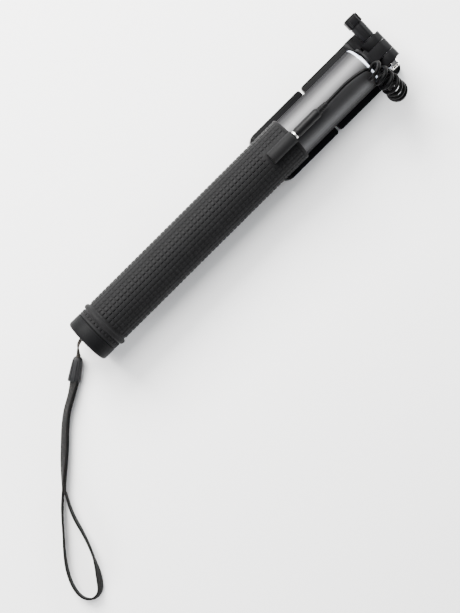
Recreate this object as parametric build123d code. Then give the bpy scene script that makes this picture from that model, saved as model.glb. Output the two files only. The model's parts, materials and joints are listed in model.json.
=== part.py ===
"""A folding selfie stick with a sprung phone holder, a curly audio lead and a wrist strap.

The stick lies on its back with the holder folded behind it. X runs along the stick from the
end cap to the hinge, Z points up, away from the surface that the stick lies on, and Y is the
side of the thumb knob. Shapes are drawn about the stick's axis and moved to the row's origin
when they are written.
"""

import math
import os

from build123d import *

# Stick (mm)
LENGTH = 196.2
AXIS_Z = 15.5  # the stick's axis above the surface
GRIP_R = 11.5
GRIP_END = 133.2
BEAD_R = 12.4
BEAD = (10.5, 13.4)
CAP_LENGTH = 7.2
CAP_FLOOR = 2.4
CAP_SPIGOT = (8.0, 14.0)  # bore radius and end
TUBE_R = 10.4
TUBE_WALL = 0.7
TUBE_TOP = 180.6
TUBE_LIP = 2.2
RIM_ROUND = 1.3
WIRE_STORE = (8.6, 5.2, 14.6, 27.0)  # outer and inner radius, start, end
STRING_HOLE = (3.0, 0.9)  # side position and radius

# Telescopic sections
SECTION_R = (8.3, 6.95, 5.6, 4.25, 2.9)
SECTION_WALL = 0.4
SECTION_START = 30.0
SECTION_STEP = 1.5  # between the inner ends of two sections
SECTION_STAGGER = 0.3  # between their outer ends
SECTION_LIP = 1.2
WIRE_START = 36.0
BUSH_LENGTH = 10.0
RUNNING_GAP = 0.08

# Shutter button, under the grip
POD_X = 60.0
POD = (30.0, 14.0)
POD_TOP = -8.0
POD_RIM = 0.9
BUTTON = (18.0, 7.0)
BUTTON_GAP = 0.3
BUTTON_SUNK = 0.2
BUTTON_FLANGE = (1.6, 1.2, 0.5)  # wider by, thickness
BOARD = (21.0, 8.8, 0.6)
SWITCH = (6.0, 2.2, 1.7)  # side, height, plunger radius
SWITCH_GAP = 0.45

# Head and hinge
HINGE_X = 191.0
HINGE_R = 5.2
NECK_HALF = 2.9
NECK_START = 182.0
NECK_FLANGE = (8.2, 183.3)  # radius and end
NECK_SOCKET = 4.0
NECK_BASE_END = 185.4
GROMMET = (0.98, -4.0)  # radius and inner end
KNUCKLE_GAP = 0.06
KNUCKLE_END = 7.3
KNUCKLE_FOOT = 4.7
WASHER = 0.3
WASHER_R = 3.3
BOLT_R = 1.5
BOLT_END = 14.0
HINGE_BORE = 9.0  # half length of the bore that is cut for the bolt
NUT = (5.5, 2.4, 3.3)  # across the flats, hexagon height, height with its dome
NUT_DOME_R = 2.6
KNOB_END = 20.8
KNOB_FLANGE = 15.6
KNOB_GAP = 0.06
KNOB_SHAFT = (3.2, 3.45)  # radius at the hinge and at the flange
KNOB_FLANGE_R = 3.35
LUG = (1.95, (16.0, 20.3), (2.8, 3.6))  # half width, along the knob, out from its axis

# Phone holder
PLATE_WIDTH = 27.7
PLATE_FACE = -12.1  # the side towards the stick
PLATE_BACK = -AXIS_Z
COVER = 0.8
PLATE_TOP = 196.0
SPLIT = (153.05, 154.55)
SPLIT_CORNER = 1.3
BASE_CORNER = 4.5
JAW_CORNER = 5.4
PAST_SIDES = 20.0  # half width of a tool that is wider than the plates
JAW_END = 117.6
JAW_LIP_TOP = -3.5
LIP = 3.0
FIXED_LIP_X = 183.5
FIXED_LIP_TOP = -5.0
FIXED_CUT_R = 8.4
JAW_CUT_R = 12.0
PAD = 1.1
PAD_BELOW = 0.5  # a pad's edge below its lip's
COVER_INSET = 1.8
SCREW = (0.9, 2.6)  # radius and length
SCREW_INSET = (6.0, 8.0)  # from the split and from the hinge end
ROD_Y = 9.0
ROD_R = 0.8
ROD_Z = -13.7
SPRING_Y = 4.0
SPRING_R = 0.9
SPRING_WIRE = 0.3
CHANNEL = 2.1
CHANNEL_END = 7.0  # from either end of the holder

# Audio plug and its lead
PLUG_Z = 13.4
JACK_R = 1.75
JACK_END = 119.2
WIRE = 1.7
COIL = 9.7
HOLSTER = (118.5, 3.05, 1.85)  # start, outer radius, bore radius
HOLSTER_FLOOR = 0.6
HOLSTER_ROOT = 10.5
BOOT = (1.65, 149.0, 154.0)  # radius, start, end
BODY = (2.35, 134.3, 149.0)
COLLAR = (2.0, GRIP_END + 0.15)  # radius and start

# Wrist strap
STRING = 1.3
TAPE = (4.6, 1.1)
SURFACE = -AXIS_Z

CLASP = (12.3, 2.1, 3.5, 2.8, 3.2, 4.6)  # length, half width at tip, shoulder, half widths, height
CLASP_FROM = (-8.7, -2.1)

STRING_ROUTE = [(1.5, 3.0, 0.0), (-2.9, 2.5, -0.5), (-5.9, 0.1, -4.4), (-7.4, -1.2, -9.4),
                (-8.15, -1.65, -12.6)]
STEM_ROUTE = [(-18.9, -9.25), (-24.6, -12.8), (-30.9, -16.2), (-37.2, -21.3), (-43.0, -26.9),
              (-49.2, -32.6), (-54.7, -37.7), (-59.1, -42.2)]
LOOP_ROUTE = [(-59.9, -41.5), (-66.6, -49.0), (-73.6, -57.0), (-79.4, -63.4), (-84.5, -70.2),
              (-88.1, -77.8), (-88.9, -84.4), (-86.0, -89.0), (-80.9, -89.2), (-76.6, -84.2),
              (-72.6, -77.6), (-69.1, -70.3), (-66.4, -62.7), (-64.5, -55.4), (-61.8, -49.0),
              (-58.7, -43.5)]
LEAD_ROUTE = [(184.4, -6.45, 2.6), (184.3, -10.2, 2.2), (183.8, -14.2, 0.4), (183.4, -17.4, -2.6)]
COIL_ROUTE = [(183.4, -18.6, -3.2), (183.0, -19.2, 2.6), (182.0, -17.4, 8.6), (180.8, -13.4, 13.4),
              (179.8, -8.4, 15.9), (179.0, -2.6, 16.7)]
PLUG_ROUTE = [(176.6, -1.5, 16.8), (172.8, -0.5, 15.4), (167.0, 0.3, 13.9), (160.4, 0.2, 13.2),
              (154.0, 0.0, 13.1)]

parts = {}


def along_x(radius, start, end, y=0.0, z=0.0):
    """A cylinder along the stick."""
    rod = Cylinder(radius, end - start, align=(Align.CENTER, Align.CENTER, Align.MIN))
    return Pos(start, y, z) * Rot(0, 90, 0) * rod


def across_y(radius, start, end, x, z=0.0):
    """A cylinder across the stick, from one side to the other."""
    rod = Cylinder(radius, end - start, align=(Align.CENTER, Align.CENTER, Align.MIN))
    return Pos(x, start, z) * Rot(-90, 0, 0) * rod


def up_z(radius, start, end, x, y):
    rod = Cylinder(radius, end - start, align=(Align.CENTER, Align.CENTER, Align.MIN))
    return Pos(x, y, start) * rod


def block(x, y, z):
    """A box between three pairs of limits."""
    size = [high - low for low, high in (x, y, z)]
    middle = [(high + low) / 2 for low, high in (x, y, z)]
    return Pos(*middle) * Box(*size)


def ring(outer, inner, start, end):
    return along_x(outer, start, end) - along_x(inner, start - 1, end + 1)


def oval(length, width, low, high, x=POD_X):
    """A solid with an oval outline, standing on a level plane."""
    outline = Pos(x, 0, low) * SlotOverall(length, width)
    return extrude(outline, high - low, dir=(0, 0, 1))


def route_wire(points):
    """Straight runs joined by tangent arcs, each as large as its two runs allow."""
    corners = [Vector(*point) for point in points]
    radii = []
    for before, corner, after in zip(corners, corners[1:], corners[2:]):
        first, second = corner - before, after - corner
        half_turn = math.radians(first.get_angle(second)) / 2
        radii.append(0.45 * min(first.length, second.length) / math.tan(half_turn))
    print("radii", [round(radius, 1) for radius in radii])
    return FilletPolyline(*corners, radius=radii)


def cord(points, diameter):
    """A round tube along a route."""
    wire = route_wire(points)
    solid = sweep(Plane(origin=wire @ 0, z_dir=wire % 0) * Circle(diameter / 2), path=wire)
    share = solid.volume / (math.pi * diameter**2 / 4 * wire.length)
    print("length", round(wire.length, 1), "volume share", round(share, 3))
    return solid


def tape(points, width, thickness, low):
    """A band of tape that stands on its edge along a level route."""
    wire = route_wire([(x, y, low + width / 2) for x, y in points])
    start = Plane(origin=wire @ 0, x_dir=(0, 0, 1), z_dir=wire % 0)
    solid = sweep(start * Rectangle(width, thickness), path=wire)
    share = solid.volume / (width * thickness * wire.length)
    print("length", round(wire.length, 1), "volume share", round(share, 3))
    return solid


def make_handle():
    bore, spigot_end = CAP_SPIGOT
    spigot = ring(TUBE_R - TUBE_WALL, bore, CAP_LENGTH, spigot_end)
    cap = along_x(GRIP_R, 0, CAP_LENGTH)
    cap = chamfer(cap.edges().group_by(Axis.X)[0], 0.8)
    cap = cap + spigot - along_x(bore, CAP_FLOOR, CAP_LENGTH)
    cap -= along_x(STRING_HOLE[1], -1, CAP_LENGTH, y=STRING_HOLE[0])
    parts["end_cap"] = cap

    opening = oval(*POD, PLATE_BACK, 0)
    tube = ring(TUBE_R, TUBE_R - TUBE_WALL, CAP_LENGTH, TUBE_TOP)
    tube += ring(TUBE_R - TUBE_WALL + 0.1, SECTION_R[0] + RUNNING_GAP, TUBE_TOP - TUBE_LIP, TUBE_TOP)
    tube = fillet(tube.edges().group_by(Axis.X)[-1].sort_by(SortBy.RADIUS)[-1], RIM_ROUND)
    parts["handle_tube"] = tube - oval(BOARD[0], BOARD[1], PLATE_BACK, 0)

    grip = ring(GRIP_R, TUBE_R, CAP_LENGTH, GRIP_END)
    grip += ring(BEAD_R, TUBE_R, *BEAD)
    parts["grip_sleeve"] = grip - opening

    start, outer, bore = HOLSTER
    holster = along_x(outer, start, GRIP_END, z=PLUG_Z)
    holster += block((start, GRIP_END), (-outer, outer), (HOLSTER_ROOT, PLUG_Z))
    holster -= along_x(GRIP_R, start - 1, GRIP_END + 1)
    parts["jack_holster"] = holster - along_x(bore, start + HOLSTER_FLOOR, GRIP_END + 1, z=PLUG_Z)

    parts["wire_coil"] = ring(*WIRE_STORE)


def make_button():
    pod = oval(*POD, PLATE_BACK, POD_TOP) - along_x(TUBE_R, 0, LENGTH)
    pod = chamfer(pod.edges().group_by(Axis.Z)[0], 0.5)
    pod -= oval(BUTTON[0] + 2 * BUTTON_GAP, BUTTON[1] + 2 * BUTTON_GAP, PLATE_BACK - 1, 0)
    pod -= oval(BOARD[0], BOARD[1], PLATE_BACK + POD_RIM, 0)
    parts["button_bezel"] = pod

    longer, wider, thickness = BUTTON_FLANGE
    flange = PLATE_BACK + POD_RIM + 0.1
    inside = flange + thickness
    button = oval(*BUTTON, PLATE_BACK + BUTTON_SUNK, inside)
    button = fillet(button.edges().group_by(Axis.Z)[0], 0.35)
    button += oval(BUTTON[0] + longer, BUTTON[1] + wider, flange, inside)
    parts["shutter_button"] = button

    board_face = -TUBE_R
    parts["switch_board"] = oval(*BOARD[:2], board_face, board_face + BOARD[2])
    side, height, plunger = SWITCH
    half = side / 2
    switch = block((POD_X - half, POD_X + half), (-half, half), (board_face - height, board_face))
    parts["tact_switch"] = switch + up_z(plunger, inside + SWITCH_GAP, board_face - height, POD_X, 0)


def make_sections():
    top = TUBE_TOP
    outer_bore = TUBE_R - TUBE_WALL
    for number, radius in enumerate(SECTION_R, start=1):
        last = number == len(SECTION_R)
        start = SECTION_START + SECTION_STEP * (number - 1)
        top = NECK_START + NECK_SOCKET if last else top + SECTION_STAGGER
        section = ring(radius, radius - SECTION_WALL, start, top)
        if not last:
            lip = SECTION_R[number] + RUNNING_GAP
            section += ring(radius - SECTION_WALL, lip, top - SECTION_LIP, top)
        parts[f"section_tube_{number}"] = section
        bush = ring(outer_bore - RUNNING_GAP, radius, start, start + BUSH_LENGTH)
        parts[f"section_bush_{number}"] = bush
        outer_bore = radius - SECTION_WALL
    parts["inner_wire"] = along_x(WIRE / 2, WIRE_START, NECK_START + NECK_SOCKET)


def make_head():
    neck = across_y(HINGE_R, -NECK_HALF, NECK_HALF, HINGE_X)
    neck += block((NECK_START, HINGE_X), (-NECK_HALF, NECK_HALF), (-HINGE_R, HINGE_R))
    neck += along_x(HINGE_R, NECK_START, NECK_BASE_END)
    neck += along_x(NECK_FLANGE[0], NECK_START, NECK_FLANGE[1])
    neck -= along_x(SECTION_R[-1], NECK_START - 1, NECK_START + NECK_SOCKET)
    neck -= across_y(BOLT_R + RUNNING_GAP, -HINGE_BORE, HINGE_BORE, HINGE_X)
    parts["neck"] = neck
    x, y, z = LEAD_ROUTE[0]
    grommet = across_y(GROMMET[0], y + 0.1, GROMMET[1], x, z)
    parts["lead_grommet"] = grommet - along_x(HINGE_R, NECK_START - 1, NECK_BASE_END + 1)


def make_lead():
    parts["lead_to_coil"] = cord(LEAD_ROUTE, WIRE)
    parts["curly_cord"] = cord(COIL_ROUTE, COIL)
    parts["lead_to_plug"] = cord(PLUG_ROUTE, WIRE)
    parts["plug_boot"] = along_x(*BOOT, z=PLUG_Z)
    body = along_x(*BODY, z=PLUG_Z)
    parts["plug_body"] = fillet(body.edges().group_by(Axis.X)[-1], 0.7)
    parts["plug_collar"] = along_x(*COLLAR, BODY[1], z=PLUG_Z)
    pin = along_x(JACK_R, JACK_END, COLLAR[1], z=PLUG_Z)
    parts["jack_pin"] = chamfer(pin.edges().group_by(Axis.X)[0], 0.7)


def plate(low_x, high_x, corner, corners_at):
    """One flat plate of the holder, with two rounded corners at its far end."""
    blank = block((low_x, high_x), (-PLATE_WIDTH / 2, PLATE_WIDTH / 2), (PLATE_BACK, 0))
    edges = blank.edges().filter_by(Axis.Z).group_by(Axis.X)
    blank = fillet(edges[corners_at], corner)
    return fillet(blank.edges().filter_by(Axis.Z).group_by(Axis.X)[-1 - corners_at], SPLIT_CORNER)


def channels(low_x, high_x):
    """The grooves for the guide rods and the springs, open to the back."""
    grooves = []
    for y in (-ROD_Y, -SPRING_Y, SPRING_Y, ROD_Y):
        side = (y - CHANNEL / 2, y + CHANNEL / 2)
        grooves.append(block((low_x, high_x), side, (PLATE_BACK, ROD_Z + CHANNEL / 2 - 0.1)))
    return grooves


def cover_of(low_x, high_x):
    half = PLATE_WIDTH / 2 - COVER_INSET
    length = (low_x + COVER_INSET, high_x - COVER_INSET)
    shape = block(length, (-half, half), (PLATE_BACK, PLATE_BACK + COVER))
    return fillet(shape.edges().filter_by(Axis.Z), 2.0)


def screws(places):
    """Small pan screws that hold a cover."""
    return [up_z(SCREW[0], PLATE_BACK, PLATE_BACK + SCREW[1], x, y) for x, y in places]


def make_holder():
    low, high = SPLIT[1], PLATE_TOP
    across = (-PAST_SIDES, PAST_SIDES)
    blank = plate(low, high, BASE_CORNER, -1)
    base = blank & block((low, high), across, (PLATE_BACK, PLATE_FACE))
    lip = blank & block((FIXED_LIP_X, FIXED_LIP_X + LIP), across, (PLATE_FACE, FIXED_LIP_TOP))
    lip -= along_x(FIXED_CUT_R, low, high)
    base += lip
    for side in (-1, 1):
        limits = sorted((side * (NECK_HALF + KNUCKLE_GAP), side * KNUCKLE_END))
        base += across_y(HINGE_R, *limits, HINGE_X)
        base += block((HINGE_X - KNUCKLE_FOOT, HINGE_X + KNUCKLE_FOOT), limits, (PLATE_FACE, 0))
    base -= across_y(BOLT_R + RUNNING_GAP, -HINGE_BORE, HINGE_BORE, HINGE_X)
    cover = cover_of(low, high)
    holes = screws([(low + SCREW_INSET[0], 0), (high - SCREW_INSET[1], 0)])
    base -= cover
    for groove in channels(low - 1, high - CHANNEL_END + 1):
        base -= groove
    for hole in holes:
        base -= hole
        cover -= hole
    parts["clamp_base"] = base
    parts["clamp_cover"] = cover
    parts["cover_screws"] = Compound(children=[Solid(hole.solids()[0].wrapped) for hole in holes])

    pad_top = FIXED_LIP_TOP - PAD_BELOW
    pad = blank & block((FIXED_LIP_X - PAD, FIXED_LIP_X), across, (PLATE_FACE, pad_top))
    parts["fixed_pad"] = pad - along_x(FIXED_CUT_R + 0.8, low, high)

    washer = across_y(WASHER_R, KNUCKLE_END, KNUCKLE_END + WASHER, HINGE_X)
    washer += across_y(WASHER_R, -KNUCKLE_END - WASHER, -KNUCKLE_END, HINGE_X)
    parts["hinge_washers"] = washer - across_y(BOLT_R + RUNNING_GAP, -HINGE_BORE, HINGE_BORE, HINGE_X)
    seat = -KNUCKLE_END - WASHER
    hexagon = RegularPolygon(NUT[0] / 2, 6, major_radius=False)
    nut = Pos(HINGE_X, seat, 0) * Rot(90, 0, 0) * extrude(hexagon, NUT[1])
    dome = across_y(NUT_DOME_R, seat - NUT[2], seat - NUT[1] + 0.1, HINGE_X)
    nut += fillet(dome.edges().group_by(Axis.Y)[0], 0.5)
    parts["hinge_nut"] = nut - across_y(BOLT_R + RUNNING_GAP / 2, seat - NUT[1], HINGE_BORE, HINGE_X)


def make_jaw():
    low, high = JAW_END, SPLIT[0]
    across = (-PAST_SIDES, PAST_SIDES)
    blank = plate(low, high, JAW_CORNER, 0)
    jaw = blank & block((low, high), across, (PLATE_BACK, PLATE_FACE))
    lip = blank & block((low, low + LIP), across, (PLATE_FACE, JAW_LIP_TOP))
    jaw += lip - along_x(JAW_CUT_R, low - 1, high)
    cover = cover_of(low, high)
    jaw -= cover
    for groove in channels(low + CHANNEL_END, high + 1):
        jaw -= groove
    parts["jaw_plate"] = jaw
    parts["jaw_cover"] = cover
    pad_top = JAW_LIP_TOP - PAD_BELOW
    pad = blank & block((low + LIP, low + LIP + PAD), across, (PLATE_FACE, pad_top))
    parts["jaw_pad"] = pad - along_x(JAW_CUT_R + 0.3, low - 1, high)
    first, last = low + CHANNEL_END, PLATE_TOP - CHANNEL_END
    rods = [along_x(ROD_R, first, last, y=y, z=ROD_Z) for y in (-ROD_Y, ROD_Y)]
    parts["guide_rods"] = Compound(children=rods)
    coils = []
    for y in (-SPRING_Y, SPRING_Y):
        coil = along_x(SPRING_R, first + 2, last, y=y, z=ROD_Z)
        coils.append(coil - along_x(SPRING_R - SPRING_WIRE, low, PLATE_TOP, y=y, z=ROD_Z))
    parts["clamp_springs"] = Compound(children=coils)


def make_knob():
    start = KNUCKLE_END + WASHER + KNOB_GAP
    low_end = (Align.CENTER, Align.CENTER, Align.MIN)
    shaft = Cone(*KNOB_SHAFT, KNOB_FLANGE - start, align=low_end)
    shaft = Pos(HINGE_X, start, 0) * Rot(-90, 0, 0) * shaft
    flange = across_y(KNOB_FLANGE_R, KNOB_FLANGE, KNOB_END, HINGE_X)
    knob = shaft + fillet(flange.edges().filter_by(GeomType.CIRCLE), 0.5)
    half, along, out = LUG
    for turn in range(4):
        lug = block((-half, half), along, out)
        lug = fillet(lug.edges().filter_by(Axis.Y), 0.3)
        knob += Pos(HINGE_X, 0, 0) * Rot(0, 90 * turn, 0) * lug
    knob -= across_y(BOLT_R, start - 1, BOLT_END, HINGE_X)
    parts["thumb_knob"] = knob
    parts["hinge_bolt"] = across_y(BOLT_R, -KNUCKLE_END - NUT[1], BOLT_END, HINGE_X)


def make_strap():
    parts["strap_string"] = cord(STRING_ROUTE, STRING)
    length, tip_half, shoulder, shoulder_half, end_half, height = CLASP
    half = [(0, tip_half), (shoulder, shoulder_half), (length, end_half)]
    outline = make_face(Polyline(*half, *[(x, -y) for x, y in reversed(half)], close=True))
    clasp = extrude(outline, height)
    clasp = fillet(clasp.edges().filter_by(Axis.Z), 0.8)
    clasp = fillet(clasp.edges().group_by(Axis.Z)[-1], 0.7)
    (x, y), (end_x, end_y) = CLASP_FROM, STEM_ROUTE[0]
    heading = math.degrees(math.atan2(end_y - y, end_x - x))
    parts["strap_clasp"] = Pos(x, y, SURFACE) * Rot(0, 0, heading) * clasp
    parts["strap_stem"] = tape(STEM_ROUTE, TAPE[0], 2 * TAPE[1], SURFACE)
    parts["strap_loop"] = tape(LOOP_ROUTE, TAPE[0], TAPE[1], SURFACE)


def main():
    os.makedirs("parts", exist_ok=True)
    for make in (make_handle, make_button, make_sections, make_head, make_lead,
                 make_holder, make_jaw, make_knob, make_strap):
        make()
    side = (PLATE_WIDTH / 2 - KNOB_END) / 2
    origin = Pos(-LENGTH / 2, side, AXIS_Z)
    for name, shape in parts.items():
        export_step(origin * shape, f"parts/{name}.step")
    print(len(parts), "nodes")


main()
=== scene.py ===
"""Looks of a folded selfie stick lying on a pale surface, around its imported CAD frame.

Shapes are drawn in millimetres about the stick's axis: x from the end cap to the hinge, y towards
the thumb knob, z up. ORIGIN and MM take them to the row frame.
"""

import json
import math

import bmesh
import bpy
import numpy as np
from mathutils import Matrix, Vector


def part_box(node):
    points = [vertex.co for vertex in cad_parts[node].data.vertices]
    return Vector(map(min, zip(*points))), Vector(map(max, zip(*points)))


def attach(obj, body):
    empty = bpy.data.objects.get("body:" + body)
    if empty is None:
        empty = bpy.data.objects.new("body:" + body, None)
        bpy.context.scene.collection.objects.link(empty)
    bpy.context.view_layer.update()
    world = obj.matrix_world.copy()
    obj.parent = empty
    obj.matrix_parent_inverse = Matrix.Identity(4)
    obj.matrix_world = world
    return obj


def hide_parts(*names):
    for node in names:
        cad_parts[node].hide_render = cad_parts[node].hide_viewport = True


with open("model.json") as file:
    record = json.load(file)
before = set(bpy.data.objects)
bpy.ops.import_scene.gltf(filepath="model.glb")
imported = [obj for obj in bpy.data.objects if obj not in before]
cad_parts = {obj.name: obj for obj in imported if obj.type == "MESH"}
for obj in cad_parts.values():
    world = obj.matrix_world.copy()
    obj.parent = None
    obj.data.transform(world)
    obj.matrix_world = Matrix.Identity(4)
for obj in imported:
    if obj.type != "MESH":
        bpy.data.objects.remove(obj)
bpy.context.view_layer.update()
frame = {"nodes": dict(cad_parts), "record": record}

MM = 0.001
TAU = 2 * math.pi
tube_low, tube_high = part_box("handle_tube")
cap_low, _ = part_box("end_cap")
ORIGIN = Vector((cap_low.x, (tube_low.y + tube_high.y) / 2, (tube_low.z + tube_high.z) / 2))
SURFACE = -ORIGIN.z / MM  # height of the surface that the stick lies on
BODIES = frame["record"]["behaviour"]["bodies"]
NODE_BODY = {node: body for body, nodes in BODIES.items() for node in nodes}
NODE_SLOT = {part["node"]: part["material_slot"] for part in frame["record"]["subparts"]}

# ---------------------------------------------------------------- camera

VIEW_CENTRE = (58.55, -35.1)  # the point of the stick's own plane in the middle of the view
EYE_SIDE = 0.0  # the camera is straight above the stick's axis
VIEW_DISTANCE = 600.0
VIEW_HEIGHT = 283.2
STICK_ANGLE = math.radians(44.76)  # of the stick above the picture's horizontal
SENSOR = 36.0


def place(x, y, z):
    """A point in the row frame, in metres."""
    return ORIGIN + Vector((x, y, z)) * MM


def make_camera():
    camera = bpy.data.cameras.new("camera")
    camera.sensor_width = SENSOR
    camera.lens = SENSOR * VIEW_DISTANCE / VIEW_HEIGHT
    camera.clip_start, camera.clip_end = 0.01, 20.0
    holder = bpy.data.objects.new("camera", camera)
    eye, target = place(VIEW_CENTRE[0], EYE_SIDE, VIEW_DISTANCE), place(*VIEW_CENTRE, 0)
    back = (eye - target).normalized()
    up = Vector((math.sin(STICK_ANGLE), math.cos(STICK_ANGLE), 0))
    up = (up - back * up.dot(back)).normalized()
    turned = Matrix((up.cross(back), up, back)).transposed().to_4x4()
    holder.matrix_world = Matrix.Translation(eye) @ turned
    bpy.context.scene.collection.objects.link(holder)
    bpy.context.scene.camera = holder


make_camera()

# ---------------------------------------------------------------- mesh helpers


def new_mesh(name, points, faces):
    """A mesh object from points in millimetres about the stick's axis."""
    mesh = bpy.data.meshes.new(name)
    mesh.from_pydata([place(*point) for point in points], [], faces)
    mesh.validate()
    made = bpy.data.objects.new(name, mesh)
    bpy.context.scene.collection.objects.link(made)
    return made


def shade(made, sharp_degrees=35):
    """Smooth shading with sharp edges where faces meet at more than an angle."""
    work = bmesh.new()
    work.from_mesh(made.data)
    bmesh.ops.recalc_face_normals(work, faces=work.faces)
    limit = math.radians(sharp_degrees)
    for face in work.faces:
        face.smooth = True
    for edge in work.edges:
        if len(edge.link_faces) == 2:
            edge.smooth = edge.calc_face_angle(0) < limit
    work.to_mesh(made.data)
    work.free()
    return made


def finish_piece(made, material, body, slot, *nodes):
    """Gives a piece its material and body, and hides the nodes that it stands for. The slot is not used."""
    made.data.materials.clear()
    made.data.materials.append(material)
    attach(made, body)
    if nodes:
        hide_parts(*nodes)
    return made


def grid_faces(rows, columns):
    """Quads between rows of points that each close on themselves."""
    faces = []
    for row in range(rows - 1):
        for column in range(columns):
            after = (column + 1) % columns
            faces.append((row * columns + column, row * columns + after,
                          (row + 1) * columns + after, (row + 1) * columns + column))
    return faces


def lathe(name, profile, z, steps):
    """A shape turned about a line along the stick, at the height z.

    The profile is (place along the stick, radius) pairs; a radius of 0 closes an end.
    """
    points = []
    for position, radius in profile:
        for step in range(steps):
            turn = TAU * step / steps
            points.append((position, radius * math.cos(turn), z + radius * math.sin(turn)))
    made = new_mesh(name, points, grid_faces(len(profile), steps))
    work = bmesh.new()
    work.from_mesh(made.data)
    bmesh.ops.remove_doubles(work, verts=work.verts, dist=1e-7)
    work.to_mesh(made.data)
    work.free()
    return shade(made)


def rounded(profile, radius, steps=4):
    """A profile with all but its end points rounded, by curves of up to that radius."""
    out = [profile[0]]
    for before, corner, after in zip(profile, profile[1:], profile[2:]):
        a, b, c = (Vector(p).to_2d() for p in (before, corner, after))
        into, out_of = (b - a), (c - b)
        turn = into.angle(out_of, 0.0) if into.length and out_of.length else 0.0
        if turn < 0.05:
            out.append(corner)
            continue
        reach = min(radius * math.tan(turn / 2), 0.45 * into.length, 0.45 * out_of.length)
        start, end = b - into.normalized() * reach, b + out_of.normalized() * reach
        for step in range(steps + 1):
            t = step / steps
            out.append(tuple((1 - t) ** 2 * start + 2 * t * (1 - t) * b + t * t * end))
    out.append(profile[-1])
    return out


BEVEL_SEGMENTS = 2
BEVEL_FROM = 32  # degrees; edges sharper than this are rounded


def softened(node, width, material):
    """A copy of a CAD node that stands for it, with its sharp edges rounded by width."""
    made = bpy.data.objects.new(node + "_soft", frame["nodes"][node].data.copy())
    bpy.context.scene.collection.objects.link(made)
    work = bmesh.new()
    work.from_mesh(made.data)
    bmesh.ops.remove_doubles(work, verts=work.verts, dist=2e-6)
    bmesh.ops.dissolve_limit(work, angle_limit=math.radians(1.0), verts=work.verts, edges=work.edges)
    work.to_mesh(made.data)
    work.free()
    bevel = made.modifiers.new("edges", "BEVEL")
    bevel.width = width * MM
    bevel.segments = BEVEL_SEGMENTS
    bevel.limit_method = "ANGLE"
    bevel.angle_limit = math.radians(BEVEL_FROM)
    bevel.use_clamp_overlap = True
    bake_modifiers(made)
    shade(made, 30)
    return finish_piece(made, material, NODE_BODY[node], NODE_SLOT[node], node)


def bake_modifiers(made):
    """Makes the modifiers' result the piece's own mesh."""
    bpy.context.view_layer.update()
    seen = made.evaluated_get(bpy.context.evaluated_depsgraph_get())
    mesh = bpy.data.meshes.new_from_object(seen)
    made.modifiers.clear()
    old, made.data = made.data, mesh
    bpy.data.meshes.remove(old)


# ---------------------------------------------------------------- materials


class Graph:
    """A material's nodes, with short names for the ones that are used here."""

    def __init__(self, name):
        self.material = bpy.data.materials.new(name)
        self.material.use_nodes = True
        self.nodes = self.material.node_tree.nodes
        self.links = self.material.node_tree.links
        self.shader = self.nodes["Principled BSDF"]
        self.where = self.nodes.new("ShaderNodeTexCoord")

    def link(self, value, socket):
        if isinstance(value, bpy.types.NodeSocket):
            self.links.new(value, socket)
        else:
            socket.default_value = value

    def noise(self, scale, detail, roughness, stretch=None):
        node = self.nodes.new("ShaderNodeTexNoise")
        node.inputs["Scale"].default_value = scale
        node.inputs["Detail"].default_value = detail
        node.inputs["Roughness"].default_value = roughness
        source = self.where.outputs["Object"]
        if stretch:
            mapping = self.nodes.new("ShaderNodeMapping")
            mapping.inputs["Scale"].default_value = stretch
            self.links.new(source, mapping.inputs["Vector"])
            source = mapping.outputs["Vector"]
        self.links.new(source, node.inputs["Vector"])
        return node.outputs["Fac"]

    def range(self, value, low, high, to_low, to_high):
        node = self.nodes.new("ShaderNodeMapRange")
        self.link(value, node.inputs["Value"])
        for socket, number in zip(("From Min", "From Max", "To Min", "To Max"), (low, high, to_low, to_high)):
            node.inputs[socket].default_value = number
        return node.outputs["Result"]

    def math(self, operation, first, second=0.0):
        node = self.nodes.new("ShaderNodeMath")
        node.operation = operation
        for socket, value in zip(node.inputs, (first, second)):
            self.link(value, socket)
        return node.outputs[0]

    def mix(self, share, first, second):
        node = self.nodes.new("ShaderNodeMix")
        node.data_type = "RGBA"
        self.link(share, node.inputs[0])
        self.link(first, node.inputs[6])
        self.link(second, node.inputs[7])
        return node.outputs[2]

    def bump(self, height, distance):
        node = self.nodes.new("ShaderNodeBump")
        node.inputs["Distance"].default_value = distance
        node.inputs["Strength"].default_value = 1.0
        self.links.new(height, node.inputs["Height"])
        self.links.new(node.outputs["Normal"], self.shader.inputs["Normal"])

    def drawn_along_x(self):
        """Turn the surface's fine lines along the stick, so that highlights spread around it."""
        node = self.nodes.new("ShaderNodeTangent")
        node.direction_type = "RADIAL"
        node.axis = "X"
        self.links.new(node.outputs["Tangent"], self.shader.inputs["Tangent"])

    def set(self, **values):
        names = {"color": "Base Color", "roughness": "Roughness", "metallic": "Metallic",
                 "sheen": "Sheen Weight", "sheen_roughness": "Sheen Roughness",
                 "specular": "Specular IOR Level", "tint": "Specular Tint",
                 "anisotropic": "Anisotropic"}
        for key, value in values.items():
            self.link(value, self.shader.inputs[names[key]])
        return self


def shaded(color, factor):
    """A colour made darker or lighter, with its alpha."""
    return tuple(min(1.0, channel * factor) for channel in color) + (1.0,)


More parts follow.
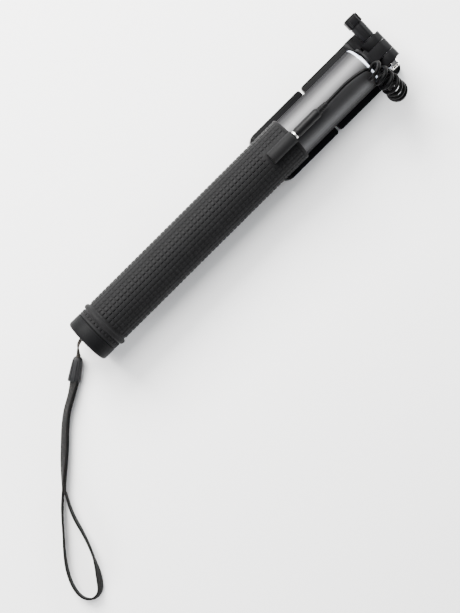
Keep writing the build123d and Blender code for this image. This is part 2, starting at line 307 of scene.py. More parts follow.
def moulded(name, color, roughness, grain=2600.0, depth=0.012, wear=0.25, specular=0.5):
    """Moulded plastic or rubber: fine grain, soft uneven gloss and slight colour drift.

    The depth is a tenth of the grain's depth in millimetres; wear is the share of pale dust.
    """
    graph = Graph(name)
    cloud = graph.noise(95.0, 5.0, 0.6)
    fine = graph.noise(grain, 2.0, 0.5)
    dust = graph.range(graph.noise(420.0, 6.0, 0.72), 0.55, 0.8, 0.0, 1.0)
    base = graph.mix(cloud, shaded(color, 0.8), shaded(color, 1.25))
    base = graph.mix(graph.math("MULTIPLY", dust, wear), base, shaded(color, 2.2))
    rough = graph.math("ADD", graph.range(cloud, 0.3, 0.7, roughness - 0.05, roughness + 0.06),
                       graph.math("MULTIPLY", fine, 0.04))
    graph.set(color=base, roughness=rough, specular=specular)
    graph.bump(fine, depth * MM * 10)
    return graph.material


SCUFF = 0.35  # how much rougher the scuffs are


def metal(name, color, roughness, brush=(60.0, 2400.0, 2400.0), depth=0.002):
    """Metal with a fine directional brush (depth in mm), small scuffs and uneven polish."""
    graph = Graph(name)
    lines = graph.noise(1.0, 3.0, 0.6, stretch=brush)
    cloud = graph.noise(70.0, 4.0, 0.6)
    marks = graph.range(graph.noise(310.0, 8.0, 0.75), 0.62, 0.78, 0.0, 1.0)
    base = graph.mix(cloud, shaded(color, 0.93), shaded(color, 1.03))
    rough = graph.math("ADD", graph.range(lines, 0.3, 0.7, roughness * 0.82, roughness * 1.2),
                       graph.math("MULTIPLY", marks, SCUFF * roughness))
    graph.set(color=base, roughness=rough, metallic=1.0)
    graph.bump(lines, depth * MM)
    return graph.material


def woven(name, dark, light, thread):
    """Flat woven tape: threads over and under each other, with painted shade in its low places, painted light
    on its raised threads, and flecks of lighter yarn.

    The tape's UVs are millimetres along it and around it, and thread is one repeat in them.
    """
    graph = Graph(name)
    split = graph.nodes.new("ShaderNodeSeparateXYZ")
    graph.links.new(graph.where.outputs["UV"], split.inputs[0])
    along = graph.math("MULTIPLY", split.outputs[0], TAU / thread)
    across = graph.math("MULTIPLY", split.outputs[1], TAU / thread)
    warp = graph.math("SINE", along)
    weft = graph.math("SINE", across)
    checks = graph.math("MULTIPLY", warp, weft)
    half_wave = graph.math("SINE", graph.math("MULTIPLY", across, 0.5))
    ribs = graph.math("MULTIPLY", graph.math("ABSOLUTE", half_wave), 0.7)
    height = graph.math("ADD", checks, ribs)
    fibre = graph.noise(5200.0, 3.0, 0.7)
    fleck = graph.range(graph.noise(900.0, 4.0, 0.8), 0.56, 0.7, 0.0, 1.0)
    share = graph.math("MULTIPLY", fleck, graph.range(checks, -0.2, 0.9, 0.0, 1.0))
    # painted shade and light: the colour is darker where the weave's height is low and lighter where its
    # threads are raised, standing in for how light falls on the weave
    base = graph.mix(graph.range(height, -0.8, 1.4, 0.0, 1.0), shaded(dark, 0.45), shaded(dark, 1.35))
    base = graph.mix(graph.math("MULTIPLY", share, 0.75), base, light + (1.0,))
    rough = graph.range(fibre, 0.3, 0.7, 0.72, 0.95)
    graph.set(color=base, roughness=rough, sheen=0.04, sheen_roughness=0.5, specular=0.1)
    graph.bump(graph.math("ADD", height, graph.math("MULTIPLY", fibre, 0.6)), 0.16 * MM)
    return graph.material


RIM_WIDTH = 1.5
RIM_FADE = 0.25


def tube_metal(name):
    """The handle tube: dark satin metal all along, polished on its rolled rim, with a painted highlight
    there: a near-white, partly non-metallic colour.
    """
    graph = Graph(name)
    lines = graph.noise(1.0, 3.0, 0.6, stretch=(45.0, 2600.0, 2600.0))
    cloud = graph.noise(55.0, 4.0, 0.6)
    marks = graph.range(graph.noise(260.0, 8.0, 0.78), 0.64, 0.8, 0.0, 1.0)
    split = graph.nodes.new("ShaderNodeSeparateXYZ")
    graph.links.new(graph.where.outputs["Object"], split.inputs[0])
    rim_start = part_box("handle_tube")[1].x - RIM_WIDTH * MM
    rim = graph.range(split.outputs[0], rim_start, rim_start + RIM_FADE * MM, 0.0, 1.0)
    satin = graph.range(lines, 0.3, 0.7, 0.4, 0.46)
    satin = graph.math("ADD", satin, graph.math("MULTIPLY", marks, 0.07))
    keep = graph.math("SUBTRACT", 1.0, rim)
    rough = graph.math("ADD", graph.math("MULTIPLY", satin, keep), graph.math("MULTIPLY", rim, 0.3))
    base = graph.mix(cloud, (0.052, 0.052, 0.053, 1), (0.058, 0.058, 0.06, 1))
    # painted highlight: the rim is coloured near-white with a blue tint, standing in for the bright
    # reflection along it
    base = graph.mix(rim, base, (0.8, 0.86, 1.0, 1))
    # less metallic on the rim, so that the painted near-white shows as a diffuse highlight under any lamp
    metallic_share = graph.math("SUBTRACT", 1.0, graph.math("MULTIPLY", rim, 0.6))
    graph.set(color=base, roughness=rough, metallic=metallic_share, tint=(0.02, 0.02, 0.021, 1), anisotropic=0.5)
    graph.drawn_along_x()
    graph.bump(lines, 0.0015 * MM)
    return graph.material


EVEN = (900.0, 900.0, 900.0)  # a fine grain without a direction

# moulded: name, colour, roughness, grain, depth, wear; metal: name, colour, roughness, brush, depth
MAT = {
    "grip": moulded("grip_rubber", (0.0085, 0.0085, 0.0088), 0.46, 2200.0, 0.006, 0.3, specular=0.03),
    "cap": moulded("cap_plastic", (0.0045, 0.0046, 0.0049), 0.44, 2400.0, 0.006, 0.15, specular=0.03),
    "tube": tube_metal("tube_steel"),
    "section": metal("section_steel", (0.5, 0.51, 0.53), 0.3, depth=0.0003),
    "plate": moulded("plate_plastic", (0.0045, 0.0045, 0.0048), 0.4, 1500.0, 0.004, 0.12, specular=0.04),
    "matt": moulded("matt_plastic", (0.0036, 0.0036, 0.0039), 0.45, 2800.0, 0.012, 0.2, specular=0.06),
    "knob": moulded("knob_plastic", (0.0036, 0.0036, 0.004), 0.38, 1900.0, 0.006, 0.15, specular=0.06),
    "plug": moulded("plug_vinyl", (0.003, 0.003, 0.0032), 0.38, 2400.0, 0.008, 0.15, specular=0.08),
    "pad": moulded("pad_rubber", (0.008, 0.008, 0.0083), 0.7, 1800.0, 0.02, 0.3, specular=0.2),
    "button": moulded("button_plastic", (0.04, 0.04, 0.043), 0.38, 2400.0, 0.006, 0.15),
    "nylon": moulded("nylon", (0.74, 0.73, 0.68), 0.45, 1500.0, 0.01, 0.05),
    "board": moulded("board_lacquer", (0.02, 0.13, 0.06), 0.3, 900.0, 0.01, 0.1),
    "switch": moulded("switch_plastic", (0.05, 0.05, 0.05), 0.5),
    "wire": moulded("wire_vinyl", (0.001, 0.001, 0.0011), 0.34, 2600.0, 0.006, 0.12, specular=0.045),
    "clasp": moulded("clasp_plastic", (0.008, 0.0081, 0.0087), 0.42, 2300.0, 0.008, 0.25, specular=0.15),
    "nickel": metal("nickel", (0.86, 0.84, 0.8), 0.13, EVEN, 0.001),
    "collar": metal("collar_nickel", (0.8, 0.79, 0.77), 0.34, EVEN, 0.001),
    "rod": metal("rod_steel", (0.6, 0.6, 0.62), 0.28),
    "ring": moulded("plug_insulator", (0.012, 0.012, 0.012), 0.4),
    "weave": woven("strap_weave", (0.003, 0.0028, 0.0028), (0.12, 0.105, 0.092), 1.0),
    "string": moulded("string_yarn", (0.028, 0.024, 0.021), 0.85, 3800.0, 0.03, 0.4, specular=0.12),
}

NODE_MATERIAL = {
    "handle_tube": "tube", "wire_coil": "wire", "switch_board": "board", "tact_switch": "switch",
    "inner_wire": "wire", "cover_screws": "rod", "hinge_washers": "matt", "hinge_bolt": "rod",
    "clamp_springs": "rod", "guide_rods": "rod",
}
for number in range(1, 6):
    NODE_MATERIAL[f"section_tube_{number}"] = "section"
    NODE_MATERIAL[f"section_bush_{number}"] = "nylon"


def finish_nodes():
    """Materials of the CAD nodes that show as they are."""
    for node, key in NODE_MATERIAL.items():
        mesh = frame["nodes"][node].data
        mesh.materials.clear()
        mesh.materials.append(MAT[key])


# ---------------------------------------------------------------- curves


def route_line(points):
    """Points read off a smooth spline that has these control points (mm in, mm out)."""
    curve = bpy.data.curves.new("route", "CURVE")
    curve.dimensions = "3D"
    curve.resolution_u = 24
    spline = curve.splines.new("NURBS")
    spline.points.add(len(points) - 1)
    for target, point in zip(spline.points, points):
        target.co = (*point, 1.0)
    spline.order_u = 3
    spline.use_endpoint_u = True
    holder = bpy.data.objects.new("route", curve)
    mesh = bpy.data.meshes.new_from_object(holder)
    line = np.array([v.co[:] for v in mesh.vertices], float)
    bpy.data.meshes.remove(mesh)
    bpy.data.objects.remove(holder)
    bpy.data.curves.remove(curve)
    return line


def lengths_of(line):
    """Length along the line up to each of its points."""
    return np.concatenate([[0.0], np.cumsum(np.linalg.norm(np.diff(line, axis=0), axis=1))])


def spaced(line, step):
    """The line again, with points about step apart."""
    along = lengths_of(line)
    at = np.linspace(0, along[-1], max(2, int(round(along[-1] / step)) + 1))
    return np.stack([np.interp(at, along, line[:, k]) for k in range(3)], axis=1)


def tangents_of(line):
    """Direction of the line at each of its points."""
    ahead = np.gradient(line, axis=0)
    return ahead / np.linalg.norm(ahead, axis=1)[:, None]


def frames_of(line, first_side):
    """Two directions across the line at each point, carried along it without twisting."""
    ahead = tangents_of(line)
    side = np.array(first_side, float)
    sides = []
    for direction in ahead:
        side = side - direction * side.dot(direction)
        side = side / np.linalg.norm(side)
        sides.append(side)
    sides = np.array(sides)
    return ahead, sides, np.cross(ahead, sides)


def tube_along(name, line, radius, sides_count=12, first_side=(0, 0, 1)):
    """A round tube around a line, with closed ends; radius is one number or one for each point."""
    radius = np.broadcast_to(radius, (len(line),))
    _, sides, ups = frames_of(line, first_side)
    turns = TAU * np.arange(sides_count) / sides_count
    points = []
    for centre, side, up, r in zip(line, sides, ups, radius):
        for turn in turns:
            points.append(tuple(centre + r * (math.cos(turn) * side + math.sin(turn) * up)))
    faces = grid_faces(len(line), sides_count)
    faces.append(tuple(reversed(range(sides_count))))
    last = (len(line) - 1) * sides_count
    faces.append(tuple(last + k for k in range(sides_count)))
    return shade(new_mesh(name, points, faces), 60)


# ---------------------------------------------------------------- cords

STRING_ROUTE = [(1.5, 3.0, 0.0), (-2.9, 2.5, -0.5), (-5.9, 0.1, -4.4), (-7.4, -1.2, -9.4),
                (-8.15, -1.65, -12.6)]
STEM_ROUTE = [(-18.9, -9.25), (-24.6, -12.8), (-30.9, -16.2), (-37.2, -21.3), (-43.0, -26.9),
              (-49.2, -32.6), (-54.7, -37.7), (-59.1, -42.2)]
LOOP_ROUTE = [(-59.9, -41.5), (-66.6, -49.0), (-73.6, -57.0), (-79.4, -63.4), (-84.5, -70.2),
              (-88.1, -77.8), (-88.9, -84.4), (-86.0, -89.0), (-80.9, -89.2), (-76.6, -84.2),
              (-72.6, -77.6), (-69.1, -70.3), (-66.4, -62.7), (-64.5, -55.4), (-61.8, -49.0),
              (-58.7, -43.5)]
LEAD_ROUTE = [(184.4, -6.45, 2.6), (184.3, -10.2, 2.2), (183.8, -14.2, 0.4), (183.4, -17.4, -2.6)]
COIL_ROUTE = [(183.4, -18.6, -3.2), (183.0, -19.2, 2.6), (182.0, -17.4, 8.6), (180.8, -13.4, 13.4),
              (179.8, -8.4, 15.9), (179.0, -2.6, 16.7)]
PLUG_ROUTE = [(176.6, -1.5, 16.8), (172.8, -0.5, 15.4), (167.0, 0.3, 13.9), (160.4, 0.2, 13.2),
              (154.0, 0.0, 13.4)]
WIRE = 1.7
COIL_RADIUS = 4.0
COIL_TURNS = 10.0
COIL_FIRST_ANGLE = 2.2
COIL_IN = (-1.8, 1.6)  # from where to where the wire winds outwards, about the coil's start
COIL_OUT = (-2.4, 3.4)  # and back inwards, about its end
TAPE_WIDTH = 4.6
TAPE_THICK = 1.1


def ease(value, low, high):
    """0 below low, 1 above high, and a smooth step between them."""
    t = np.clip((value - low) / (high - low), 0.0, 1.0)
    return t * t * (3 - 2 * t)


def nearest_length(line, along, point):
    """Length along the line at its point nearest to a given one."""
    return along[np.linalg.norm(line - np.array(point), axis=1).argmin()]


def make_curly_cord():
    """The lead from the neck, its curls over the stick's side, and the lead to the plug, as one wire."""
    route = spaced(route_line(LEAD_ROUTE + COIL_ROUTE + PLUG_ROUTE), 0.12)
    along = lengths_of(route)
    start = nearest_length(route, along, COIL_ROUTE[0])
    end = nearest_length(route, along, COIL_ROUTE[-1])
    _, sides, ups = frames_of(route, (1, 0, 0))
    share = np.clip((along - start) / (end - start), 0.0, 1.0)
    turns = COIL_TURNS * (1.3 * share - 0.3 * share**1.8)  # closer together at the neck's end
    reach = COIL_RADIUS * ease(along, start + COIL_IN[0], start + COIL_IN[1])
    reach = reach * (1 - ease(along, end + COIL_OUT[0], end + COIL_OUT[1]))
    reach = reach * (1 + 0.06 * np.sin(turns * 2.1 + 0.4))  # the turns aren't all of one size
    angle = TAU * turns + COIL_FIRST_ANGLE
    line = route + reach[:, None] * (np.cos(angle)[:, None] * sides + np.sin(angle)[:, None] * ups)
    line = spaced(line, 0.35)
    cord = tube_along("curly_cord_wire", line, WIRE / 2, 12, (1, 0, 0))
    finish_piece(cord, MAT["wire"], "section_5", "cable_jacket", "lead_to_coil", "curly_cord", "lead_to_plug")
    return cord, line


def tape_section(width, thick):
    """The outline of a tape with round edges, as (across, through) points."""
    half_w, half_t = width / 2, thick / 2
    outline = []
    for centre, start in ((half_w - half_t, -90), (-half_w + half_t, 90)):
        for step in range(5):
            turn = math.radians(start + 45 * step)
            outline.append((centre + half_t * math.cos(turn), half_t * math.sin(turn)))
    return outline


def tape_along(name, line, width, thick, lean, offset=0.0):
    """A flat tape along a line. lean is the angle of its width above the surface, at each point."""
    ahead = tangents_of(line)
    level = np.cross(np.array([0, 0, 1.0]), ahead)
    level = level / np.linalg.norm(level, axis=1)[:, None]
    up = np.cross(ahead, level)
    across = np.cos(lean)[:, None] * level + np.sin(lean)[:, None] * up
    through = np.cross(ahead, across)
    outline = tape_section(width, thick)
    steps = [math.dist(a, b) for a, b in zip(outline, outline[1:] + outline[:1])]
    around = np.concatenate([[0], np.cumsum(steps)])
    points = []
    for centre, side, face in zip(line, across, through):
        for a, t in outline:
            points.append(tuple(centre + a * side + (t + offset) * face))
    count = len(outline)
    last = (len(line) - 1) * count
    ends = [tuple(reversed(range(count))), tuple(last + k for k in range(count))]
    made = new_mesh(name, points, grid_faces(len(line), count) + ends)
    lengths = lengths_of(line)
    sheet = made.data.uv_layers.new(name="threads")
    for face in made.data.polygons:
        columns = [made.data.loops[i].vertex_index % count for i in face.loop_indices]
        wraps = max(columns) == count - 1 and min(columns) == 0 and len(columns) == 4
        for index, column in zip(face.loop_indices, columns):
            row = made.data.loops[index].vertex_index // count
            place_around = around[count] if wraps and column == 0 else around[column]
            sheet.data[index].uv = (lengths[row], place_around)
    return shade(made, 50)


TAPE_START = (-18.0, -8.65)  # inside the clasp
CLASP_EXIT = 1.9  # height of the tape's middle in the clasp, above the surface
DOUBLE_PAST_FORK = 1.0  # length that the second layer goes on past the fork
LOOP_BEND = 44.0  # length from the way out of the loop's far bend to the tape's end
BELOW_DOUBLED, BELOW_SINGLE = 1.35, 0.5  # what is below the tape's line, in thicknesses
LAYER_OFFSET, LAYER_THICK = 0.92, 0.85  # of the second layer, in thicknesses


def strap_lean(along, stem_end):
    """The angle of the tape's width above the surface, at each length along the tape."""
    lean = math.radians(40) + math.radians(11) * ease(along, 0.0, 8.0)  # out of the clasp
    lean = lean + math.radians(39) * ease(along, stem_end * 0.65, stem_end * 1.12)  # stands up at the fork
    lean = lean + math.radians(4) * np.sin(along / 6.5)  # waves a little all along
    bend = along[-1] - LOOP_BEND
    back = math.radians(30) * ease(along, bend - 20.0, bend)  # less upright around the far bend
    return lean - back * (1 - ease(along, bend, bend + 12.0))


def make_strap():
    """The strap's tape: a sewn double stretch that opens into the wrist loop."""
    leaving = SURFACE + CLASP_EXIT
    standing = SURFACE + TAPE_WIDTH / 2
    stem = [(*TAPE_START, leaving)]
    for step, (x, y) in enumerate(STEM_ROUTE):
        stem.append((x, y, leaving + (standing - leaving) * min(1.0, step / 2)))
    loop = [(x, y, standing) for x, y in LOOP_ROUTE[1:]]
    line = spaced(route_line(stem + loop), 0.5)
    along = lengths_of(line)
    stem_end = nearest_length(line, along, (*STEM_ROUTE[-1], standing))
    lean = strap_lean(along, stem_end)
    doubled = along <= stem_end + DOUBLE_PAST_FORK
    below = np.where(doubled, TAPE_THICK * BELOW_DOUBLED, TAPE_THICK * BELOW_SINGLE)
    line[:, 2] = np.maximum(line[:, 2], SURFACE + TAPE_WIDTH / 2 * np.sin(lean) + below * np.cos(lean))
    tape = tape_along("strap_tape", line, TAPE_WIDTH, TAPE_THICK, lean)
    finish_piece(tape, MAT["weave"], "handle", "strap_weave", "strap_stem", "strap_loop")
    layer = tape_along("strap_stem_layer", line[doubled], TAPE_WIDTH - 0.1, TAPE_THICK * LAYER_THICK,
                       lean[doubled], offset=-TAPE_THICK * LAYER_OFFSET)
    finish_piece(layer, MAT["weave"], "handle", "strap_weave")
    return tape, layer, line


YARN_RADIUS = 0.44
YARN_OFFSET = 0.4  # of each yarn from the string's middle
YARN_TWIST = 30.0  # length of one full turn
YARN_FIRST_ANGLE = 1.1
KNOT_RADIUS = 1.15
KNOT_POINTS = 11
KNOT_ENDS = 0.97  # share of the knot's half length at which its ends are cut


def make_string():
    """The two twisted yarns that tie the strap to the cap, and the knot at their end."""
    route = spaced(route_line(STRING_ROUTE), 0.15)
    _, sides, ups = frames_of(route, (0, 0, 1))
    along = lengths_of(route)
    yarns = []
    for start in (0.0, math.pi):
        angle = TAU * along / YARN_TWIST + start + YARN_FIRST_ANGLE
        line = route + YARN_OFFSET * (np.cos(angle)[:, None] * sides + np.sin(angle)[:, None] * ups)
        yarns.append(tube_along("yarn", line, YARN_RADIUS, 8))
    x, y, z = STRING_ROUTE[-1]
    knot = np.array([(x - 0.25, y - 0.2, z + 1.5 - 0.25 * step) for step in range(KNOT_POINTS)])
    swell = np.sqrt(1 - np.linspace(-KNOT_ENDS, KNOT_ENDS, KNOT_POINTS) ** 2)
    yarns.append(tube_along("knot", knot, KNOT_RADIUS * swell, 12, (1, 0, 0)))
    joined = join("strap_string_yarns", yarns)
    return finish_piece(joined, MAT["string"], "handle", "strap_string", "strap_string")


def join(name, pieces):
    """One object from several meshes."""
    work = bmesh.new()
    for piece in pieces:
        work.from_mesh(piece.data)
    mesh = bpy.data.meshes.new(name)
    work.to_mesh(mesh)
    work.free()
    for piece in pieces:
        old = piece.data
        bpy.data.objects.remove(piece)
        bpy.data.meshes.remove(old)
    made = bpy.data.objects.new(name, mesh)
    bpy.context.scene.collection.objects.link(made)
    return made


CLASP_TIP = (-8.7, -2.1)
CLASP_LENGTH = 12.3
CLASP_RISE = 2.1  # of its middle above the surface
CLASP_STEPS = 28
CLASP_SIZES = ((0.0, 0.9, 0.9), (0.3, 1.6, 1.35), (1.0, 2.15, 1.7), (2.2, 2.5, 1.9), (4.5, 2.72, 1.95),
               (7.5, 2.9, 2.0), (10.2, 3.1, 2.05), (11.6, 3.12, 2.0), (12.1, 3.0, 1.85),
               (CLASP_LENGTH, 2.7, 1.5))  # place from its tip, half width, half height
CLASP_SQUARE = (0.6, 0.7)  # powers below 1 square the section off, across and up
CLASP_RIDGES = ((0.0, 0.0, 0.34), (-1.75, -2.15, 0.22), (1.75, 2.15, 0.22))  # start, stop, radius
RIDGE_HEIGHTS = ((2.0, 1.75), (4.5, 1.9), (8.0, 1.95), (11.7, 1.9))  # place from the tip, height


def make_clasp():
    """The moulded end piece of the strap: arched tip, widening body and three ridges."""
    tip = np.array(CLASP_TIP)
    end = np.array(STEM_ROUTE[0])
    ahead = (end - tip) / np.linalg.norm(end - tip)
    level = np.array([-ahead[1], ahead[0]])
    centre_z = SURFACE + CLASP_RISE
    points = []
    for position, half_width, half_height in CLASP_SIZES:
        for step in range(CLASP_STEPS):
            turn = TAU * step / CLASP_STEPS
            side = half_width * math.copysign(abs(math.cos(turn)) ** CLASP_SQUARE[0], math.cos(turn))
            up = half_height * math.copysign(abs(math.sin(turn)) ** CLASP_SQUARE[1], math.sin(turn))
            spot = tip + ahead * position + level * side
            points.append((spot[0], spot[1], centre_z + up))
    faces = grid_faces(len(CLASP_SIZES), CLASP_STEPS)
    last = (len(CLASP_SIZES) - 1) * CLASP_STEPS
    faces.append(tuple(reversed(range(CLASP_STEPS))))
    faces.append(tuple(last + k for k in range(CLASP_STEPS)))
    body = shade(new_mesh("clasp_body", points, faces), 50)
    ribs = []
    for start, stop, bead in CLASP_RIDGES:
        line = [(*(tip + ahead * x + level * (start + (stop - start) * x / CLASP_LENGTH)), centre_z + z)
                for x, z in RIDGE_HEIGHTS]
        ribs.append(tube_along("rib", spaced(route_line(line), 0.3), bead, 8))
    clasp = join("strap_clasp_body", [body] + ribs)
    return finish_piece(clasp, MAT["clasp"], "handle", "clasp_plastic", "strap_clasp")


PLUG_Z = 13.4
BOOT_START, BOOT_END = 148.6, 154.0
BOOT_RADIUS = 1.72
BOOT_RIBS, RIB_START, RIB_PITCH = 4, 149.2, 1.05
INSULATORS = (123.6, 126.4, 129.2)
INSULATOR_WIDTH = 0.55


def make_plug():
    """The plug's boot, body, collar and pin, turned about the plug's axis."""
    boot = [(BOOT_START, 0), (BOOT_START, BOOT_RADIUS)]
    for rib in range(BOOT_RIBS):
        x = RIB_START + RIB_PITCH * rib
        groove = 1.45 - 0.06 * rib
        boot += [(x, BOOT_RADIUS - 0.07 * rib), (x + 0.18, groove), (x + 0.42, groove),
                 (x + 0.6, 1.68 - 0.08 * rib)]
    boot += [(BOOT_END - 0.4, 1.34), (BOOT_END, 1.05), (BOOT_END, 0)]
    boot = lathe("plug_boot_ribbed", rounded(boot, 0.12, 2), PLUG_Z, 40)
    finish_piece(boot, MAT["plug"], "section_5", "matt_black", "plug_boot")
    body = [(134.3, 0), (134.3, 2.0), (134.45, 2.2), (135.3, 2.2), (135.5, 2.35), (148.0, 2.35),
            (148.9, 1.9), (149.0, 0)]
    body = lathe("plug_body_turned", rounded(body, 0.35), PLUG_Z, 48)
    finish_piece(body, MAT["plug"], "section_5", "matt_black", "plug_body")
    collar = [(133.35, 0), (133.35, 1.9), (133.5, 2.0), (134.2, 2.0), (134.3, 1.9), (134.3, 0)]
    collar = lathe("plug_collar_turned", rounded(collar, 0.1, 2), PLUG_Z, 48)
    finish_piece(collar, MAT["collar"], "section_5", "nickel", "plug_collar")
    pin = [(119.2, 0), (119.3, 0.55), (120.6, 1.6), (121.3, 1.72), (122.1, 1.25), (122.7, 1.25),
           (123.2, 1.72), (133.35, 1.75), (133.35, 0)]
    pin = lathe("jack_pin_turned", rounded(pin, 0.15, 3), PLUG_Z, 40)
    finish_piece(pin, MAT["nickel"], "section_5", "nickel", "jack_pin")
    rings = []
    for start in INSULATORS:
        end = start + INSULATOR_WIDTH
        profile = [(start, 1.6), (start, 1.765), (end, 1.765), (end, 1.6), (start, 1.6)]
        rings.append(lathe("insulator", profile, PLUG_Z, 40))
    rings = join("jack_insulators", rings)
    finish_piece(rings, MAT["ring"], "section_5", "matt_black")
    return boot, body, collar, pin, rings


def make_cords():
    """Both cords, each with the pieces that hang on it."""
    cord, line = make_curly_cord()
    plug = make_plug()
    tape, layer, line = make_strap()
    string, clasp = make_string(), make_clasp()


make_cords()

# ---------------------------------------------------------------- grip

GRIP_START, GRIP_END = 7.25, 133.2
GRIP_CORE = 10.5
GRIP_TOP = 11.5
COLUMNS = 32
ROW_PITCH = 2.35
FIRST_ROW, ROWS = 14.2, 50
ALONG_LINES = (0.0, 0.08, 0.15, 0.2, 0.8, 0.85, 0.92)
AROUND_LINES = (0.0, 0.042, 0.108, 0.16, 0.84, 0.892, 0.958)
TILE = (0.78, 0.86)  # share of the cell along the stick and around it
TILE_CORNER = 0.25
TILE_SLOPE, TILE_SLOPE_IN = 0.14, 0.06  # width of a tile's edge, and how much of it is in the tile
ROW_RING = 0.72  # height share of the low ring between two rows of tiles
RING_START = 0.3  # share of the cell from its middle to where the ring starts to rise
RING_RISE = 0.05
DROP = {"deep": 0.6, "edge": 0.22, "lip": 0.05, "smooth": 0.0}  # of these rows below GRIP_TOP
SHORT_START, SHORT_PITCH = 8.75, 1.55  # the one short row of tiles, beside the cap
BEAD_START, BEAD_WIDTH = 10.5, 2.9
BEAD_STEPS = 8
BEAD_FOOT, BEAD_RISE = 0.35, 1.25  # the bead's foot below GRIP_TOP, and its height from there
HOLSTER_START, HOLSTER_HALF_WIDTH = 118.5, 4.4
HOLSTER_MARGIN = 1.4  # smooth stretch before the plug's holder
HOLSTER_HEIGHT = 0.75  # height share of the smooth stretch
GRIP_BORE = 10.42
POD_X, POD_LENGTH, POD_WIDTH = 60.0, 30.0, 14.0
POD_MARGIN = 0.35  # of sleeve that reaches under the button's bezel


def tile_height(u, v, pitch_u, pitch_v, share_u, share_v):
    """Height share of a rounded square tile at a place in its cell (0 to 1 each way)."""
    half_u, half_v = pitch_u * share_u / 2, pitch_v * share_v / 2
    away_u = abs(u - 0.5) * pitch_u - (half_u - TILE_CORNER)
    away_v = abs(v - 0.5) * pitch_v - (half_v - TILE_CORNER)
    outside = math.hypot(max(away_u, 0), max(away_v, 0)) + min(max(away_u, away_v), 0) - TILE_CORNER
    return 1 - min(max((outside + TILE_SLOPE_IN) / TILE_SLOPE, 0.0), 1.0)


def grip_rows():
    """(place along the stick, row kind, share of the cell) of each ring of points."""
    rows = [(GRIP_START, "deep", 0), (GRIP_START + 0.12, "edge", 0), (GRIP_START + 0.35, "smooth", 0)]
    rows += [(SHORT_START - 0.25, "smooth", 0)]
    rows += [(SHORT_START + SHORT_PITCH * line, "short", line) for line in ALONG_LINES]
    for step in range(BEAD_STEPS + 1):
        share = step / BEAD_STEPS
        rows.append((BEAD_START + BEAD_WIDTH * share, "bead", share))
    for row in range(ROWS):
        rows += [(FIRST_ROW + ROW_PITCH * (row + line), "tile", line) for line in ALONG_LINES]
    rows += [(FIRST_ROW + ROW_PITCH * ROWS, "tile", 0.0)]
    rows += [(GRIP_END - 1.3, "smooth", 0), (GRIP_END - 0.5, "smooth", 0)]
    rows += [(GRIP_END - 0.15, "lip", 0), (GRIP_END, "edge", 0)]
    return rows


def beside_holster(x, turn):
    """Whether a place on the sleeve is in the smooth stretch around the plug's holder."""
    across = abs(GRIP_TOP * math.cos(turn))
    return math.sin(turn) > 0 and across < HOLSTER_HALF_WIDTH and x > HOLSTER_START - HOLSTER_MARGIN


def grip_radius(x, kind, share, column_share, turn):
    """Radius of the sleeve at x and turn, where its cell's shares are share and column_share."""
    if kind in DROP:
        return GRIP_TOP - DROP[kind]
    if kind == "bead":
        return GRIP_TOP - BEAD_FOOT + BEAD_RISE * math.sqrt(1 - (2 * share - 1) ** 2)
    pitch_x = SHORT_PITCH if kind == "short" else ROW_PITCH
    pitch_y = TAU * GRIP_TOP / COLUMNS
    ring = ROW_RING * min(max((abs(share - 0.5) - RING_START) / RING_RISE, 0.0), 1.0)
    height = max(ring, tile_height(share, column_share, pitch_x, pitch_y, *TILE))
    if beside_holster(x, turn):
        height = HOLSTER_HEIGHT
    return GRIP_CORE + (GRIP_TOP - GRIP_CORE) * height


def under_pod(x, y, z):
    """Whether a point is under the button's bezel, where the sleeve is open."""
    reach = max(abs(x - POD_X) - (POD_LENGTH - POD_WIDTH) / 2, 0.0)
    return z <= 0 and math.hypot(reach, y) <= POD_WIDTH / 2 - POD_MARGIN


def make_grip():
    """The rubber sleeve: a waffle of small raised squares, a bead ring and smooth ends."""
    rows = grip_rows()
    around = [(line, TAU * (column + line + 0.5) / COLUMNS + math.pi / 2)
              for column in range(COLUMNS) for line in AROUND_LINES]
    points = []
    for x, kind, share in rows:
        for line, turn in around:
            radius = grip_radius(x, kind, share, line, turn)
            points.append((x, radius * math.cos(turn), radius * math.sin(turn)))
    for x in (GRIP_END, GRIP_START):
        points += [(x, GRIP_BORE * math.cos(turn), GRIP_BORE * math.sin(turn)) for _, turn in around]
    count = len(around)
    rings = len(rows) + 2
    faces = grid_faces(rings, count)
    last = (rings - 1) * count
    faces += [(last + k, last + (k + 1) % count, (k + 1) % count, k) for k in range(count)]
    faces = [face for face in faces if not all(under_pod(*points[index]) for index in face)]
    grip = shade(new_mesh("grip_waffle", points, faces), 80)
    return finish_piece(grip, MAT["grip"], "handle", "grip_rubber", "grip_sleeve")


make_grip()
finish_nodes()

# ---------------------------------------------------------------- hard parts with softened edges

for node, width, key in (
    ("end_cap", 0.35, "cap"), ("jack_holster", 0.35, "grip"), ("button_bezel", 0.25, "matt"),
    ("shutter_button", 0.2, "button"), ("neck", 0.1, "plate"), ("lead_grommet", 0.15, "matt"),
    ("clamp_base", 0.1, "plate"), ("clamp_cover", 0.15, "matt"), ("fixed_pad", 0.15, "pad"),
    ("hinge_nut", 0.25, "nickel"), ("jaw_plate", 0.35, "plate"), ("jaw_cover", 0.15, "matt"),
    ("jaw_pad", 0.15, "pad"), ("thumb_knob", 0.22, "knob"),
):
    softened(node, width, MAT[key])

# ---------------------------------------------------------------- floor and light

FLOOR_HALF = 3.0  # metres
FLOOR_Z = -0.0004  # metres; just below what lies on it


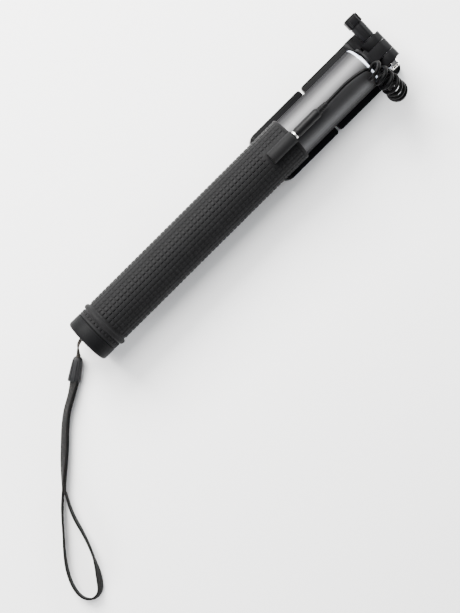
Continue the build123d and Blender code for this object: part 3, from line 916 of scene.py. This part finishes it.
def area_light(name, spot, target, size, power, color=(1, 1, 1)):
    """A rectangular lamp: spot and target in mm about the stick, size in metres."""
    data = bpy.data.lights.new(name, "AREA")
    data.energy = power
    data.color = color
    data.shape = "RECTANGLE"
    data.size, data.size_y = size
    lamp = bpy.data.objects.new(name, data)
    lamp.location = place(*spot)
    aim = (place(*target) - lamp.location).normalized()
    lamp.rotation_euler = aim.to_track_quat("-Z", "Y").to_euler()
    bpy.context.scene.collection.objects.link(lamp)


def make_floor():
    """The pale paper that the stick lies on."""
    corners = [(x * FLOOR_HALF, y * FLOOR_HALF, FLOOR_Z) for x, y in ((-1, -1), (1, -1), (1, 1), (-1, 1))]
    mesh = bpy.data.meshes.new("floor")
    mesh.from_pydata(corners, [], [(0, 1, 2, 3)])
    floor = bpy.data.objects.new("floor", mesh)
    bpy.context.scene.collection.objects.link(floor)
    graph = Graph("floor_paper")
    cloud = graph.noise(3.0, 3.0, 0.5)
    paper = graph.mix(cloud, (0.95, 0.95, 0.95, 1), (0.97, 0.97, 0.97, 1))
    graph.set(color=paper, roughness=0.9, specular=0.1)
    mesh.materials.append(graph.material)


def make_light():
    """A dim sky, two lamps on the knob's side, a low one across from them and one at each end."""
    world = bpy.data.worlds.new("studio")
    world.use_nodes = True
    background = world.node_tree.nodes["Background"]
    background.inputs["Color"].default_value = (0.9, 0.93, 1.0, 1)
    background.inputs["Strength"].default_value = 0.2
    bpy.context.scene.world = world
    area_light("key", (160, 680, 500), (100, 0, 0), (0.6, 0.4), 36.0, (1, 0.99, 0.97))
    area_light("top", (60, 380, 760), (90, -40, 0), (0.8, 0.35), 12.0, (1, 0.99, 0.98))
    area_light("fill", (140, -950, 110), (100, 0, 0), (0.9, 0.16), 5.5)
    area_light("end", (860, 60, 240), (120, 0, 0), (0.6, 0.2), 9.0, (0.96, 0.98, 1.0))
    area_light("foot", (-760, 0, 240), (0, 0, 0), (0.6, 0.2), 9.0, (0.98, 0.99, 1.0))


make_floor()
make_light()
